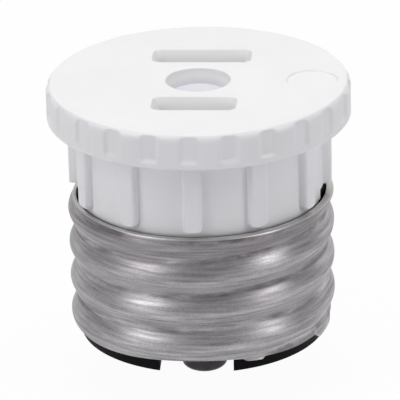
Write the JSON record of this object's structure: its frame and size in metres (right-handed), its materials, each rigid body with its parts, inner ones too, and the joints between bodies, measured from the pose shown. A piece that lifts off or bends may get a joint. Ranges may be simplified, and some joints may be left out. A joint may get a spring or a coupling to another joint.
{
  "type": "lamp socket adapter",
  "caption": "Lampholder adapter: white moulded outlet body with polarised plug slots and grip ribs above a threaded aluminium screw shell, black insulating base and domed contact.",
  "frame": {"origin": "tip of the centre contact, on the axis", "axes": "+Z along the axis, out of the outlet face; +X along the plug slots, towards the round mark; the narrow slot lies on the -Y side"},
  "size_m": [0.0298, 0.0298, 0.031],
  "materials": {
    "white_plastic": "moulded, satin",
    "aluminium": "rolled sheet, satin",
    "black_phenolic": "moulded, semi-gloss",
    "plated_brass": "tin plated, dull",
    "brass": "rolled strip"
  },
  "bodies": {
    "root": {"outlet_body": "white_plastic", "screw_shell": "aluminium", "base_insulator": "black_phenolic", "centre_contact": "plated_brass", "line_contact": "brass", "neutral_contact": "brass"}
  },
  "joints": []
}
